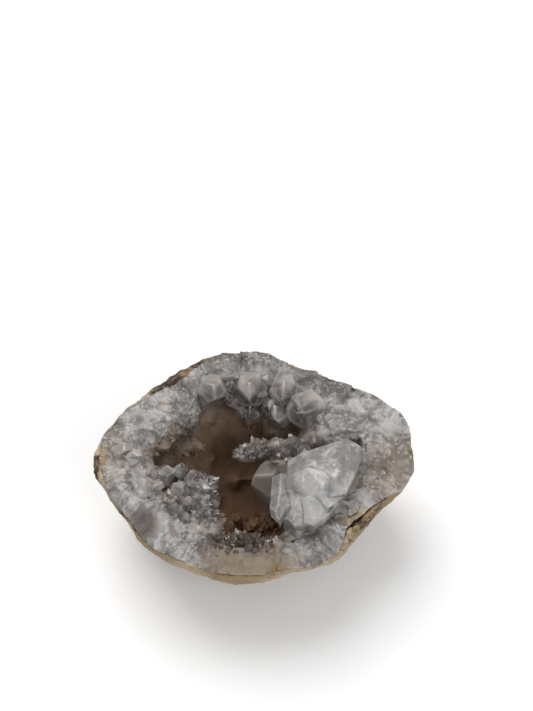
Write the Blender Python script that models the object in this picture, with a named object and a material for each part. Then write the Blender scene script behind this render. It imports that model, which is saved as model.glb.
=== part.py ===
"""Half of a hollow quartz geode, broken open and lying on its round back.

Three pieces that grew in this order: a thin tan stone rind, the milky quartz wall inside it, and the
crust of quartz crystals that lines the hollow. X runs across the opening, Y from front to back, Z up.
"""

import math
import random

import bmesh
import bpy
from mathutils import Matrix, Vector, noise

MM = 0.001  # every size below is in millimetres until a mesh is made

# The broken rim, seen from above: bearing in degrees from +X, and distance from the stone's middle
RIM = (
    (-180, 46.4), (-168, 44.2), (-154, 41.2), (-140, 40.7), (-126, 38.2), (-112, 37.3),
    (-98, 36.7), (-86, 36.5), (-74, 35.3), (-60, 37.4), (-48, 38.3), (-38, 37.1),
    (-28, 38.7), (-17, 40.8), (-9, 46.0), (4, 46.9), (13, 47.4), (22, 43.9),
    (31, 39.5), (41, 36.4), (52, 33.4), (63, 31.9), (75, 32.5), (84, 33.6),
    (99, 33.8), (113, 35.2), (129, 34.6), (139, 36.0), (149, 38.7), (160, 41.3), (170, 44.5),
)
# How far the outside swells past the rim on its way down; below zero it turns under at once
SWELL = (
    (-180, -1.0), (-160, -2.5), (-140, -4.0), (-110, -5.0), (-90, -5.0), (-75, -5.5), (-60, -6.0),
    (-48, -3.5), (-34, -0.5), (-18, -1.5), (10, 0.0), (60, -1.0), (100, 0.0), (140, 1.0), (165, 0.0),
)
# Thickness of the tan stone, thick where its edge was bruised
RIND = (
    (-180, 1.6), (-150, 1.2), (-120, 1.4), (-95, 1.8), (-78, 1.2), (-62, 0.8), (-50, 1.6), (-40, 3.2),
    (-28, 3.0), (-15, 1.5), (5, 1.3), (30, 0.9), (60, 0.9), (95, 0.9), (113, 1.2), (128, 2.6),
    (152, 2.4), (166, 1.2),
)
RIND_FLOOR = 1.8
STONE_LUMPS = 0.05  # height of the outside's lumps over its radius
STONE_ROUNDNESS = 0.83  # exponent of the belly's profile: 1 is an ellipse, less is fuller
CORE = Vector((-2.0, -2.0, 30.0))  # the point that the layers are offset towards
FLATTENED = 1.6  # how much of the lowest belly is worn off to the flat that the stone rests on

# The break: higher at the back than at the front, and rough
BREAK_HEIGHT = 39.0
BREAK_SLOPE = 0.12
BREAK_RELIEF = ((0.16, 1.3), (0.42, 0.7))  # (bumps per millimetre, height)

GAP = 0.3  # between two pieces that touch

# The mouth of the hollow in the quartz wall, and how the hollow goes down from it
MOUTH_CENTRE = Vector((-5.0, -3.0, 0.0))
MOUTH = (
    (-160, 24.0), (-135, 19.0), (-115, 22.0), (-90, 24.5), (-65, 24.0), (-40, 26.0), (-15, 29.0),
    (10, 29.5), (35, 28.0), (60, 28.0), (90, 28.5), (108, 28.0), (122, 24.0), (136, 21.0), (150, 22.0),
    (165, 26.0), (180, 28.0),
)
MOUTH_DROP = 1.2  # the mouth's edge lies this far under the break
HOLLOW_FLOOR = 9.0
HOLLOW_BELLY = 0.5
HOLLOW_ROUNDNESS = 0.9
HOLLOW_CORE = Vector((MOUTH_CENTRE.x, MOUTH_CENTRE.y, 34.0))  # the point that the crust grew towards
LINING = 1.6  # thickness of the crust between its crystals
LINING_BURIED = 1.2  # how deep in the wall the lining starts before it is cut to fit

AROUND = 64  # points in one turn of the stone
UP_OUTSIDE = 7
ACROSS_BREAK = 4
DOWN_HOLLOW = 6

# A pit in the break on the right, where a small pocket was opened
PIT_CENTRE = Vector((30.3, 5.4, 39.5))
PIT_SIZE = Vector((2.0, 1.5, 5.0))

# Big crystals of the crust, from root to tip, with their radius
BACK_ROW = (
    ((-13.5, 28.0, 30.0), (-11.6, 18.6, 41.4), 4.9),
    ((-1.5, 30.0, 30.0), (-1.0, 19.4, 42.0), 5.3),
    ((9.5, 29.0, 29.0), (8.0, 18.0, 41.8), 5.0),
    ((6.0, 25.0, 27.0), (4.6, 15.2, 36.5), 3.1),
    ((20.5, 22.0, 27.0), (15.6, 12.4, 40.6), 6.8),
    ((8.5, 23.0, 18.0), (5.0, 12.0, 30.5), 5.2),
    ((-3.5, 23.0, 27.0), (-3.4, 15.0, 35.5), 2.4),
    ((0.5, 23.5, 26.0), (0.4, 15.0, 35.0), 2.3),
    ((-19.5, 22.0, 29.0), (-17.0, 14.0, 40.6), 3.6),
    ((16.5, 27.0, 32.0), (15.5, 21.5, 42.6), 3.2),
    ((-6.5, 26.0, 29.0), (-6.6, 17.4, 38.4), 2.8),
)
RIGHT_BLOCK = (
    ((12.3, -1.7, 42.0), (18.9, -0.3, 43.5), (26.8, 2.2, 43.6), (31.8, -0.8, 43.4), (31.5, -5.5, 43.5),
     (29.0, -11.2, 43.0), (22.0, -12.0, 46.6), (18.3, -8.6, 47.0), (26.4, -4.1, 46.3), (9.4, -6.6, 41.0),
     (24.0, 1.0, 28.0), (12.0, -3.0, 28.0), (28.0, -10.0, 30.0), (14.0, -10.0, 28.0)),
    ((6.6, -11.0, 37.6), (9.4, -6.9, 41.6), (17.0, -7.4, 45.8), (20.0, -14.5, 45.6), (27.3, -15.2, 42.0),
     (22.7, -19.4, 41.5), (8.0, -16.8, 38.4), (16.0, -18.2, 43.4), (14.0, -6.0, 28.0), (24.0, -14.0, 30.0)),
    ((17.4, -24.2, 40.3), (12.0, -24.3, 39.3), (8.2, -20.8, 38.3), (10.5, -15.0, 42.0), (16.0, -13.0, 44.0),
     (21.8, -17.4, 42.8), (15.2, -20.4, 42.6), (13.0, -16.0, 28.0), (19.0, -17.0, 30.0), (12.5, -21.0, 30.0)),
)
BLOCK_EDGE = (
    ((11.0, -9.0, 33.0), (5.2, -19.5, 37.5), 3.4),
    ((29.0, 0.5, 34.0), (33.2, -2.4, 43.8), 2.6),
    ((26.0, -13.0, 34.0), (28.6, -17.0, 42.2), 2.6),
    ((12.0, -19.0, 32.0), (9.0, -24.8, 38.6), 2.6),
    ((16.0, -2.0, 34.0), (14.6, 1.6, 43.4), 2.5),
    ((24.0, -3.0, 38.0), (24.0, -0.5, 47.0), 3.2),
    ((20.0, 7.0, 33.0), (19.0, 5.6, 42.6), 3.6),
)
TWIN = (
    ((19.0, -3.0, 20.0), (-0.5, -3.6, 33.0), 5.0),
    ((18.0, 0.0, 20.0), (4.5, 0.5, 35.0), 4.4),
)
ARM = (
    ((10.0, 6.0, 31.0), (4.6, 6.4, 37.4), 3.0),
    ((9.0, 7.0, 31.0), (1.6, 6.0, 34.9), 2.4),
    ((5.0, 6.5, 30.0), (-1.8, 3.4, 34.0), 2.7),
    ((3.0, 8.0, 29.0), (-1.8, 8.6, 34.6), 2.9),
    ((0.0, 6.0, 29.5), (-7.2, 3.6, 32.6), 1.9),
    ((1.0, 6.0, 28.5), (-5.0, 6.6, 33.4), 1.8),
    ((13.0, 6.0, 32.0), (10.6, 7.0, 40.0), 2.4),
    ((13.0, 1.0, 32.0), (9.2, -2.4, 41.6), 2.3),
)
LEFT_BAND = (
    ((-39.0, -2.0, 27.0), (-31.5, -2.0, 41.4), 5.2),
    ((-36.0, 5.0, 27.0), (-27.5, 3.4, 40.2), 4.0),
    ((-34.0, -9.0, 26.0), (-26.0, -8.0, 40.6), 4.6),
    ((-28.0, -13.0, 26.0), (-21.5, -13.5, 40.2), 4.2),
    ((-22.0, -20.0, 26.0), (-15.5, -20.0, 39.0), 3.8),
    ((-30.0, 11.0, 28.0), (-21.0, 7.5, 40.6), 3.8),
    ((-24.0, 16.0, 28.0), (-16.0, 11.0, 40.8), 3.4),
)
# Round swells that the crystals stand on: middle and half-sizes
SWELLS = (
    ((21.0, -8.0, 26.0), (10.0, 13.0, 12.0)),
    ((13.0, 3.0, 24.0), (8.0, 5.0, 8.5)),
    ((19.0, 8.5, 29.0), (8.0, 7.0, 9.5)),
    ((5.0, 6.0, 30.0), (8.5, 2.4, 2.4)),
    ((-18.0, -12.0, 29.0), (8.5, 10.5, 8.0)),
    ((-13.0, -18.5, 27.0), (6.0, 6.0, 7.0)),
    ((2.0, 24.0, 32.0), (17.0, 4.0, 5.0)),
)
# Patches of small crystals: name, middle, half-sizes, how many, least and most radius, and their facing
PATCHES = (
    ("left mound", (-17.0, -11.0, 32.0), (7.5, 9.0, 6.5), 24, 1.3, 2.4, (0.6, 0.3, 0.8)),
    ("mound foot", (-12.5, -18.5, 30.0), (5.0, 5.0, 5.5), 12, 1.2, 2.0, (0.5, 0.2, 0.8)),
    ("front sill", (-1.0, -24.5, 30.0), (13.0, 3.4, 5.5), 18, 1.1, 1.9, (0.0, 0.5, 0.9)),
)
FIELD_ROWS = ((0.22, 7, 3.6), (0.45, 10, 3.1), (0.68, 13, 2.6), (0.9, 16, 2.2))  # (climb, count, radius)
FIELD_ROOT = 2.0  # how deep in the wall these crystals start
FIELD_LEAN = 0.28  # how far they lean out of true
TIP_SLOPE = 1.15  # height of a crystal's pointed end over its radius
PRISM_TAPER = 1.1  # radius at a crystal's root over that under its point
KEPT_FACES = 0.74  # share of the crust's triangles left once the slivers of its cuts are merged away

COLOURS = {
    "rind": ((0.42, 0.32, 0.18, 1.0), 0.85),
    "quartz_wall": ((0.62, 0.60, 0.59, 1.0), 0.35),
    "crystal_crust": ((0.50, 0.46, 0.44, 1.0), 0.15),
}


def around(table, bearing):
    """The value at a bearing on a smooth closed curve through a table of (bearing, value)."""
    count = len(table)
    bearing = (bearing - table[0][0]) % 360 + table[0][0]
    first = max(k for k in range(count) if table[k][0] <= bearing)

    def knot(k):
        turns, place = divmod(k, count)
        return table[place][0] + 360 * turns, table[place][1]

    (a0, v0), (a1, v1), (a2, v2), (a3, v3) = (knot(first + k) for k in (-1, 0, 1, 2))
    s = (bearing - a1) / (a2 - a1)
    leaving = (v2 - v0) / (a2 - a0) * (a2 - a1)
    arriving = (v3 - v1) / (a3 - a1) * (a2 - a1)
    start = (2 * s**3 - 3 * s**2 + 1) * v1 + (s**3 - 2 * s**2 + s) * leaving
    return start + (3 * s**2 - 2 * s**3) * v2 + (s**3 - s**2) * arriving


def heading(bearing):
    return Vector((math.cos(math.radians(bearing)), math.sin(math.radians(bearing)), 0.0))


def break_height(x, y):
    """Height of the broken face over a place."""
    height = BREAK_HEIGHT + BREAK_SLOPE * y
    for bumps, relief in BREAK_RELIEF:
        height += relief * noise.noise(Vector((x * bumps, y * bumps, 3.7)))
    return height


def outside(bearing, climb, inset=0.0):
    """A point of the stone's outside: climb is 0 at the base and 1 at the rim, inset goes inwards."""
    rim = heading(bearing) * around(RIM, bearing)
    dip = math.radians(90 * (1 - climb))
    lump = noise.noise(heading(bearing) * 1.9 + Vector((0, 0, 2.2 * climb)))
    lumps = 1 + STONE_LUMPS * math.sin(2 * dip) * lump
    spread = math.cos(dip) ** STONE_ROUNDNESS * lumps
    swell = around(SWELL, bearing) * math.sin(2 * dip) * (1 if climb > 0.5 else math.sin(2 * dip))
    point = rim * spread + heading(bearing) * swell
    top = break_height(rim.x, rim.y)
    point.z = top - (top + FLATTENED) * math.sin(dip) ** STONE_ROUNDNESS
    point += (CORE - point).normalized() * inset
    if climb == 1:
        point.z = break_height(point.x, point.y)
    return Vector((point.x, point.y, max(point.z, inset)))


def hollow(bearing, descent, inset=0.0):
    """A point of the hollow's side: descent is 0 at the mouth and 1 at the floor, inset goes inwards."""
    dip = math.radians(90 * descent)
    spread = math.cos(dip) ** HOLLOW_ROUNDNESS
    reach = around(MOUTH, bearing) * spread + HOLLOW_BELLY * math.sin(2 * dip)
    edge = MOUTH_CENTRE + heading(bearing) * around(MOUTH, bearing)
    top = break_height(edge.x, edge.y) - MOUTH_DROP
    point = MOUTH_CENTRE + heading(bearing) * reach
    point.z = top - (top - HOLLOW_FLOOR) * math.sin(dip) ** HOLLOW_ROUNDNESS
    return point + (HOLLOW_CORE - point).normalized() * inset


def under_rind(bearing, climb, more=0.0):
    """A point of the rind's inner side, or that much deeper in the stone."""
    edge_share = climb**2
    thickness = around(RIND, bearing) * edge_share + RIND_FLOOR * (1 - edge_share)
    return outside(bearing, climb, thickness + more)


def across_break(bearing, share, lift=0.0):
    """A point of the broken quartz between the rind, share 0, and the mouth, share 1."""
    start = under_rind(bearing, 1, GAP)
    end = hollow(bearing, 0)
    point = start.lerp(end, share)
    point.z = break_height(point.x, point.y) - MOUTH_DROP * share**3 + lift
    return point


def levels(count):
    return [k / count for k in range(count + 1)]


def lathe_like(name, rings):
    """A closed solid from rings of points: a sphere whose rows, lowest first, are moved to the rings."""
    bm = bmesh.new()
    bmesh.ops.create_uvsphere(bm, u_segments=AROUND, v_segments=len(rings) - 1, radius=1.0)
    for vertex in bm.verts:
        row = round(math.acos(max(-1.0, min(1.0, -vertex.co.z))) / math.pi * (len(rings) - 1))
        bearing = math.degrees(math.atan2(vertex.co.y, vertex.co.x))
        vertex.co = rings[row](bearing) * MM
    bmesh.ops.triangulate(bm, faces=bm.faces[:])
    return finish_object(name, bm)


def finish_object(name, bm):
    """Makes the bmesh an object of that name, with its faces pointing out."""
    bmesh.ops.recalc_face_normals(bm, faces=bm.faces[:])
    mesh = bpy.data.meshes.new(name)
    bm.to_mesh(mesh)
    bm.free()
    made = bpy.data.objects.new(name, mesh)
    bpy.context.scene.collection.objects.link(made)
    return made


def give_material(made):
    colour, roughness = COLOURS[made.name]
    material = bpy.data.materials.new(made.name)
    material.use_nodes = True
    shader = material.node_tree.nodes["Principled BSDF"]
    shader.inputs["Base Color"].default_value = colour
    shader.inputs["Roughness"].default_value = roughness
    shader.inputs["Metallic"].default_value = 0.0
    made.data.materials.clear()
    made.data.materials.append(material)


def apply_modifiers(made):
    shaped = bpy.data.meshes.new_from_object(made.evaluated_get(bpy.context.evaluated_depsgraph_get()))
    made.modifiers.clear()
    made.data = shaped


def boolean(made, other, operation, touches_itself=False):
    """Joins or cuts, applies the result to the mesh, and removes the other object."""
    modifier = made.modifiers.new(operation.lower(), "BOOLEAN")
    modifier.object = other
    modifier.operation = operation
    modifier.use_self = touches_itself
    apply_modifiers(made)
    bpy.data.objects.remove(other)


def pole(point):
    return lambda bearing: point


def make_rind():
    """The tan stone skin, a bowl with an irregular edge and a worn flat underneath."""
    rings = [pole(Vector((0, 0, 0)))]
    rings += [lambda b, k=k: outside(b, k) for k in levels(UP_OUTSIDE)[1:]]
    rings += [lambda b, k=k: under_rind(b, k) for k in reversed(levels(UP_OUTSIDE)[1:])]
    rings += [pole(Vector((0, 0, RIND_FLOOR)))]
    return lathe_like("rind", rings)


def wall_rings(lift=0.0):
    """The quartz wall's rings; lift grows its broken face and its hollow by that much."""
    rings = [pole(Vector((0, 0, RIND_FLOOR + GAP)))]
    rings += [lambda b, k=k: under_rind(b, k, GAP) for k in levels(UP_OUTSIDE)[1:-1]]
    rings += [lambda b, k=k: across_break(b, k, lift) for k in levels(ACROSS_BREAK)[:-1]]
    rings += [lambda b: hollow(b, 0, lift) + Vector((0, 0, lift))]
    rings += [lambda b, k=k: hollow(b, k, lift) for k in levels(DOWN_HOLLOW)[1:-1]]
    return rings + [pole(Vector((MOUTH_CENTRE.x, MOUTH_CENTRE.y, HOLLOW_FLOOR + lift)))]


def make_wall():
    """The massive milky quartz between the rind and the crystals, with the pit in its broken face."""
    wall = lathe_like("quartz_wall", wall_rings())
    bm = bmesh.new()
    bmesh.ops.create_icosphere(bm, subdivisions=1, radius=1.0)
    for vertex in bm.verts:
        vertex.co = (PIT_CENTRE + vertex.co * PIT_SIZE) * MM
    boolean(wall, finish_object("pit", bm), "DIFFERENCE")
    return wall


def add_crystal(bm, root, tip, radius, twist=0.0, skew=Vector((0, 0, 0))):
    """One quartz point: a six-sided prism from root, closed by six faces that meet at tip."""
    axis = tip - root
    end = min(TIP_SLOPE * radius, 0.7 * axis.length)
    prism = axis.length - end
    turn = axis.to_track_quat("Z", "Y").to_matrix().to_4x4() @ Matrix.Rotation(twist, 4, "Z")
    place = Matrix.Translation(root * MM) @ turn @ Matrix.Translation((0, 0, prism / 2 * MM))
    made = bmesh.ops.create_cone(
        bm, cap_ends=True, segments=6, radius1=PRISM_TAPER * radius * MM, radius2=radius * MM,
        depth=prism * MM, matrix=place,
    )
    toward = axis.normalized()
    faces = {face for vertex in made["verts"] for face in vertex.link_faces}
    top = max((f for f in faces if len(f.verts) == 6), key=lambda f: f.calc_center_median().dot(toward))
    peak = bmesh.ops.poke(bm, faces=[top])["verts"][0]
    peak.co = (tip + skew * radius) * MM


def add_block(bm, corners):
    """A broken block of massive quartz: the flat-faced solid that spans its corners."""
    points = [bm.verts.new(Vector(corner) * MM) for corner in corners]
    hull = bmesh.ops.convex_hull(bm, input=points)
    bmesh.ops.delete(bm, geom=[item for item in hull["geom_interior"] if item.is_valid], context="VERTS")


def add_swell(bm, middle, half_sizes):
    """A lump of massive quartz that crystals stand on."""
    made = bmesh.ops.create_icosphere(bm, subdivisions=2, radius=1.0)
    for vertex in made["verts"]:
        rough = 1 + 0.12 * noise.noise(vertex.co * 2.1 + Vector(middle))
        vertex.co = (Vector(middle) + vertex.co * Vector(half_sizes) * rough) * MM


def any_direction(random_numbers):
    return Vector([random_numbers.gauss(0, 1) for _ in range(3)]).normalized()


def add_patches(bm, random_numbers):
    """Small crystals in a dome-shaped patch, standing out from the patch's middle."""
    for _name, middle, half_sizes, count, least, most, facing in PATCHES:
        for _ in range(count):
            out = (any_direction(random_numbers) + Vector(facing).normalized()).normalized()
            radius = random_numbers.uniform(least, most)
            foot = Vector(middle) + out * Vector(half_sizes) * 0.55
            tip = Vector(middle) + out * Vector(half_sizes) * random_numbers.uniform(0.95, 1.15)
            reach = (tip - foot).normalized() * max((tip - foot).length, 2.2 * radius)
            add_crystal(bm, foot, foot + reach, radius, random_numbers.uniform(0, math.pi))


def add_field(bm, random_numbers):
    """Rows of crystals all round the hollow, pointing into it."""
    for descent_left, count, radius in FIELD_ROWS:
        for k in range(count):
            bearing = 360 * (k + random_numbers.uniform(-0.3, 0.3)) / count
            descent = 1 - descent_left + random_numbers.uniform(-0.05, 0.05)
            foot = hollow(bearing, descent, -FIELD_ROOT)
            lean = any_direction(random_numbers) * FIELD_LEAN
            toward = ((HOLLOW_CORE - foot).normalized() + lean).normalized()
            size = radius * random_numbers.uniform(0.75, 1.3)
            length = FIELD_ROOT + LINING + size * random_numbers.uniform(1.2, 1.9)
            skew = any_direction(random_numbers) * 0.15
            add_crystal(bm, foot, foot + toward * length, size, random_numbers.uniform(0, math.pi), skew)


def lining_rings():
    """A skin that starts inside the wall, so that the cut below leaves it to follow the hollow."""
    under_mouth = [0.5 / DOWN_HOLLOW] + levels(DOWN_HOLLOW)[1:-1]
    rings = [pole(Vector((MOUTH_CENTRE.x, MOUTH_CENTRE.y, HOLLOW_FLOOR - LINING_BURIED)))]
    rings += [lambda b, k=k: hollow(b, k, -LINING_BURIED) for k in reversed(under_mouth)]
    rings += [lambda b, k=k: hollow(b, k, LINING) for k in under_mouth]
    return rings + [pole(Vector((MOUTH_CENTRE.x, MOUTH_CENTRE.y, HOLLOW_FLOOR + LINING)))]


def make_crust():
    """The crust of crystals: a lining, swells and crystals joined, then cut to lie a gap off the wall."""
    random_numbers = random.Random(7)
    crust = lathe_like("crystal_crust", lining_rings())
    bm = bmesh.new()
    for group in (BACK_ROW, BLOCK_EDGE, TWIN, ARM, LEFT_BAND):
        for root, tip, radius in group:
            add_crystal(bm, Vector(root), Vector(tip), radius, random_numbers.uniform(0, math.pi))
    for corners in RIGHT_BLOCK:
        add_block(bm, corners)
    for middle, half_sizes in SWELLS:
        add_swell(bm, middle, half_sizes)
    add_patches(bm, random_numbers)
    add_field(bm, random_numbers)
    boolean(crust, finish_object("crystals", bm), "UNION", touches_itself=True)
    boolean(crust, lathe_like("wall_room", wall_rings(GAP)), "DIFFERENCE")
    keep_main_body(crust)
    merge_slivers(crust)
    return crust


def keep_main_body(made):
    """Fills the pockets sealed between crystals, and drops crumbs that the cuts left loose."""
    bm = bmesh.new()
    bm.from_mesh(made.data)
    unseen = set(bm.verts)
    islands = []
    while unseen:
        island = {unseen.pop()}
        edge_of_search = list(island)
        while edge_of_search:
            found = {edge.other_vert(v) for v in edge_of_search for edge in v.link_edges} - island
            island |= found
            edge_of_search = list(found)
        unseen -= island
        islands.append(island)
    islands.sort(key=len)
    for island in islands[:-1]:
        bmesh.ops.delete(bm, geom=list(island), context="VERTS")
    bm.to_mesh(made.data)
    bm.free()


def merge_slivers(made):
    """Collapses the shortest edges, which the joins left in flat faces, and keeps the shape."""
    made.modifiers.new("slivers", "DECIMATE").ratio = KEPT_FACES
    apply_modifiers(made)


def rest_on_origin(pieces):
    """Moves the pieces so that the origin is under their middle, at the bottom."""
    points = [vertex.co for piece in pieces for vertex in piece.data.vertices]
    lowest = Vector([min(p[axis] for p in points) for axis in range(3)])
    highest = Vector([max(p[axis] for p in points) for axis in range(3)])
    middle = (lowest + highest) / 2
    move = Vector((-middle.x, -middle.y, -lowest.z))
    for piece in pieces:
        piece.data.transform(Matrix.Translation(move))
    return move


for old in list(bpy.data.objects):
    bpy.data.objects.remove(old)
geode = [make_rind(), make_wall(), make_crust()]
MOVED = rest_on_origin(geode)
for piece in geode:
    give_material(piece)
geode[0].data.shade_smooth()  # the rind is worn round, the quartz is broken and flat-faced
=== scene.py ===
"""Half of a quartz geode lying on a pale table, seen from the front and above.

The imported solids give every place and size. Each layer of the stone is dressed with fine meshes of its
own: the pitted rind, the broken quartz wall, and the crystals that grew into the hollow.
"""

import math
import random

import bmesh
import bpy
from mathutils import Matrix, Vector, noise
from mathutils.bvhtree import BVHTree


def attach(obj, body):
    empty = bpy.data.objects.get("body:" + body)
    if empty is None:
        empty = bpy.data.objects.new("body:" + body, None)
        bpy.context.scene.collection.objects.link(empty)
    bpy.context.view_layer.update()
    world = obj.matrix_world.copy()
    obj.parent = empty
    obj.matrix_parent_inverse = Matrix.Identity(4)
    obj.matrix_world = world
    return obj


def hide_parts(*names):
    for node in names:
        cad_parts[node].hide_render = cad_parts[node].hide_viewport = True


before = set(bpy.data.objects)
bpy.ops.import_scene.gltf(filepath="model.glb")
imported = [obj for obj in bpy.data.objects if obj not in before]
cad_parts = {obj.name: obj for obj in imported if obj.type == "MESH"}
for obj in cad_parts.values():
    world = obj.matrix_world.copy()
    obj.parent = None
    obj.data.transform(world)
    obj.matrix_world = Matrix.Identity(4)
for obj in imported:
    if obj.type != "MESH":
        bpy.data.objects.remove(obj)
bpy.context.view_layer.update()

MM = 0.001


# The table, the light and the camera
# A pale matt table under a big soft light from above and behind, with a weaker one from the front.
# The camera looks down on the opening as the photograph does.

TABLE_SIZE = 3.0  # metres from its middle to an edge
TABLE_COLOUR = (0.86, 0.86, 0.86, 1.0)
SKY_COLOUR = (0.95, 0.97, 1.0, 1.0)
SKY_STRENGTH = 0.62
LIGHTS_FACE = Vector((0, 0, 0.03))  # metres, the middle of the stone
CAMERA_PLACE = Vector((3.8, -164.5, 342.2))  # millimetres
CAMERA_DIP = 56.48  # degrees below level
LENS = 60.0

bm = bmesh.new()
bmesh.ops.create_grid(bm, x_segments=1, y_segments=1, size=TABLE_SIZE)
table_mesh = bpy.data.meshes.new("table")
bm.to_mesh(table_mesh)
bm.free()
table = bpy.data.objects.new("table", table_mesh)
bpy.context.scene.collection.objects.link(table)
table_finish = bpy.data.materials.new("table")
table_finish.use_nodes = True
table_shader = table_finish.node_tree.nodes["Principled BSDF"]
table_shader.inputs["Base Color"].default_value = TABLE_COLOUR
table_shader.inputs["Roughness"].default_value = 0.8
table_mesh.materials.append(table_finish)

world = bpy.data.worlds.new("studio")
bpy.context.scene.world = world
world.use_nodes = True
world.node_tree.nodes["Background"].inputs["Color"].default_value = SKY_COLOUR
world.node_tree.nodes["Background"].inputs["Strength"].default_value = SKY_STRENGTH


def soft_light(name, place, size, power, colour):
    """A square light that faces the stone, its place and size in metres."""
    light = bpy.data.lights.new(name, "AREA")
    light.size = size
    light.energy = power
    light.color = colour
    lamp = bpy.data.objects.new(name, light)
    lamp.location = place
    lamp.rotation_euler = (LIGHTS_FACE - Vector(place)).to_track_quat("-Z", "Y").to_euler()
    bpy.context.scene.collection.objects.link(lamp)


soft_light("window", place=(-0.22, 0.42, 1.0), size=0.7, power=8.5, colour=(1.0, 0.985, 0.965))
soft_light("fill", place=(0.6, -0.6, 0.8), size=0.6, power=3.5, colour=(1.0, 0.985, 0.97))

lens = bpy.data.cameras.new("camera")
lens.lens = LENS
camera = bpy.data.objects.new("camera", lens)
camera.location = CAMERA_PLACE * MM
camera.rotation_euler = (math.radians(90 - CAMERA_DIP), 0, 0)
bpy.context.scene.collection.objects.link(camera)
bpy.context.scene.camera = camera
bpy.context.scene.view_settings.view_transform = "Standard"


# The rind
# The thin limestone skin that the geode grew in: a tan, pitted and sandy crust, stained dark brown
# along its upper edge. It's one shell, grown fast to the quartz inside it.

RIND_SMOOTHING = 3  # subdivision levels
RIND_LUMPS = (7.0, 0.55)  # (width, height) in millimetres, as are all sizes on the stone
RIND_GRAIN = (1.6, 0.22)
RIND_PIT_SPACING = 3.4
RIND_PIT_WIDTH = 0.32  # a pit's radius, as a share of the spacing
RIND_PIT_SLOPE = 2.0  # how much deeper a pit gets over one spacing, towards its middle
RIND_CREVICE_DEPTH = 3.0
RIND_THICKENING = 0.15  # makes up for what the lumps, pits and smoothing take away
RIND_LEDGES = (  # (middle, reach) where thick layered rind stands at the broken edge
    ((-27.0, 28.0, 40.0), (18.0, 9.0, 6.0)), ((-46.0, -3.0, 38.0), (5.0, 10.0, 8.0)),
)
RIND_BREAK = ((33.0, -17.5, 36.0), (11.0, 9.0, 10.0))  # where the rind has crumbled in deep crevices
RIND_STAINS = (  # the dark brown and black patches
    ((-26.0, 28.0, 39.0), (17.0, 7.0, 6.0)), ((-46.5, -1.5, 37.5), (2.5, 3.5, 4.0)),
    ((-39.0, -16.5, 36.0), (3.0, 2.5, 4.0)), ((4.0, 36.0, 39.0), (24.0, 4.0, 6.0)),
    ((24.0, 27.0, 40.0), (12.0, 6.0, 5.0)), ((47.0, -3.0, 40.0), (2.0, 3.0, 3.0)),
)


def surface_of(node):
    """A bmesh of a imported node's surface, its loose triangles joined at their corners."""
    joined = bmesh.new()
    joined.from_mesh(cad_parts[node].data)
    bmesh.ops.remove_doubles(joined, verts=joined.verts, dist=0.01 * MM)
    return joined


def make_piece(name, bm, finish, node, sharp_from):
    """Makes the bmesh a finished piece that rides on the stone in place of a node.

    Edges of more than sharp_from degrees stay sharp, and all of them do if it's 0.
    """
    mesh = bpy.data.meshes.new(name)
    bm.to_mesh(mesh)
    bm.free()
    if sharp_from:
        mesh.shade_smooth()
        mesh.set_sharp_from_angle(angle=math.radians(sharp_from))
    else:
        mesh.shade_flat()
    mesh.materials.append(finish)
    piece = bpy.data.objects.new(name, mesh)
    bpy.context.scene.collection.objects.link(piece)
    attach(piece, "root")
    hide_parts(node)


def subdivided(bm, levels):
    """The bmesh after Catmull-Clark subdivision."""
    mesh = bpy.data.meshes.new("cage")
    bm.to_mesh(mesh)
    bm.free()
    cage = bpy.data.objects.new("cage", mesh)
    bpy.context.scene.collection.objects.link(cage)
    rounding = cage.modifiers.new("rounding", "SUBSURF")
    rounding.levels = rounding.render_levels = levels
    made = bmesh.new()
    made.from_object(cage, bpy.context.evaluated_depsgraph_get())
    bpy.data.objects.remove(cage)
    return made


def chips(place, size):
    """Height of a surface broken into flat chips of that size, for a chip size of 1."""
    site = noise.voronoi(place / size)[1][0]
    lean = noise.cell_vector(site * 5.3) - Vector((0.5, 0.5, 0.5))
    return (place / size - site).dot(lean) * size


def start_finish(name, roughness):
    """A material, its node tree and its shader."""
    material = bpy.data.materials.new(name)
    material.use_nodes = True
    shader = material.node_tree.nodes["Principled BSDF"]
    shader.inputs["Roughness"].default_value = roughness
    return material, material.node_tree, shader


def node(tree, kind, inputs=(), **settings):
    """A node with its settings, and its inputs from (socket, value or output) pairs."""
    made = tree.nodes.new(kind)
    for setting, value in settings.items():
        setattr(made, setting, value)
    for socket, value in inputs:
        if isinstance(value, bpy.types.NodeSocket):
            tree.links.new(value, made.inputs[socket])
        else:
            made.inputs[socket].default_value = value
    return made


def place_of(tree):
    return node(tree, "ShaderNodeTexCoord").outputs["Object"]


def speckle(tree, place, size, detail=4.0, roughness=0.55, distortion=0.0):
    """Noise from 0 to 1, with spots about that many millimetres wide."""
    inputs = (("Vector", place), ("Scale", 1 / (size * MM)), ("Detail", detail),
              ("Roughness", roughness), ("Distortion", distortion))
    return node(tree, "ShaderNodeTexNoise", inputs).outputs["Fac"]


def ramp(tree, value, low, high, to_low=0.0, to_high=1.0):
    """The value stretched so that low becomes to_low and high becomes to_high."""
    inputs = (("Value", value), ("From Min", low), ("From Max", high),
              ("To Min", to_low), ("To Max", to_high))
    stretched = node(tree, "ShaderNodeMapRange", inputs, interpolation_type="SMOOTHSTEP")
    return stretched.outputs["Result"]


def mixed(tree, share, first, second):
    """One colour painted over another where share is high."""
    mix = node(tree, "ShaderNodeMix", (("Factor", share),), data_type="RGBA")
    for socket, colour in ((6, first), (7, second)):
        if isinstance(colour, bpy.types.NodeSocket):
            tree.links.new(colour, mix.inputs[socket])
        else:
            mix.inputs[socket].default_value = (*colour, 1.0)
    return mix.outputs[2]


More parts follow.
